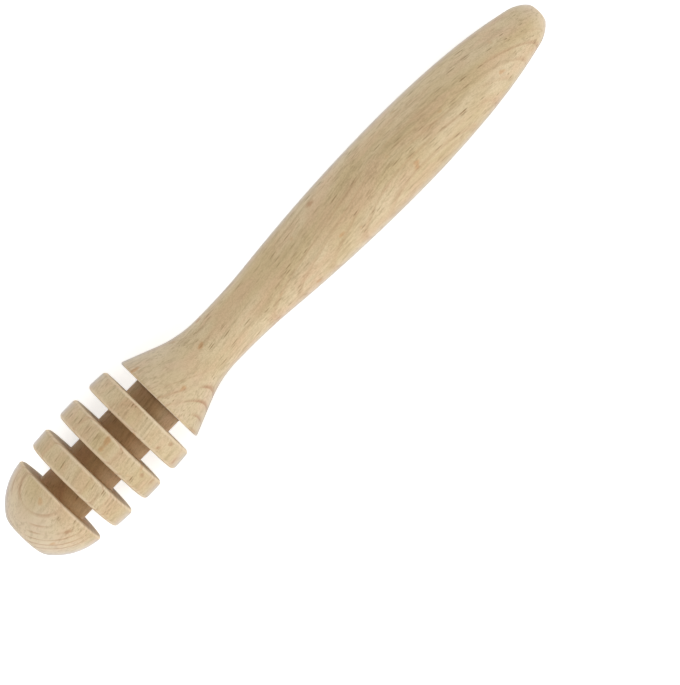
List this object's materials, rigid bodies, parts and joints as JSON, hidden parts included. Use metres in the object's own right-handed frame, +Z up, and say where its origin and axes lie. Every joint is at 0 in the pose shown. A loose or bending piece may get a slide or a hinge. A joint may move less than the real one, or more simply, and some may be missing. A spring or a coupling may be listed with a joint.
{
  "type": "honey dipper",
  "caption": "Turned wooden honey dipper: a domed head cut into rings holds honey in its grooves, and a slim handle with a full belly is twirled between the fingers.",
  "frame": {"origin": "middle of the dipper's length and width, on the table it lies on", "axes": "+X runs level from the head to the end of the handle, +Z is up, and the turning axis dips 2.42 degrees below +X, because the head is thicker than the handle"},
  "size_m": [0.1602, 0.026, 0.0262],
  "materials": {
    "head_wood": "bare beech, turned and sanded",
    "handle_wood": "bare beech, turned and sanded"
  },
  "bodies": {
    "root": {"head": "head_wood", "handle": "handle_wood"}
  },
  "joints": []
}
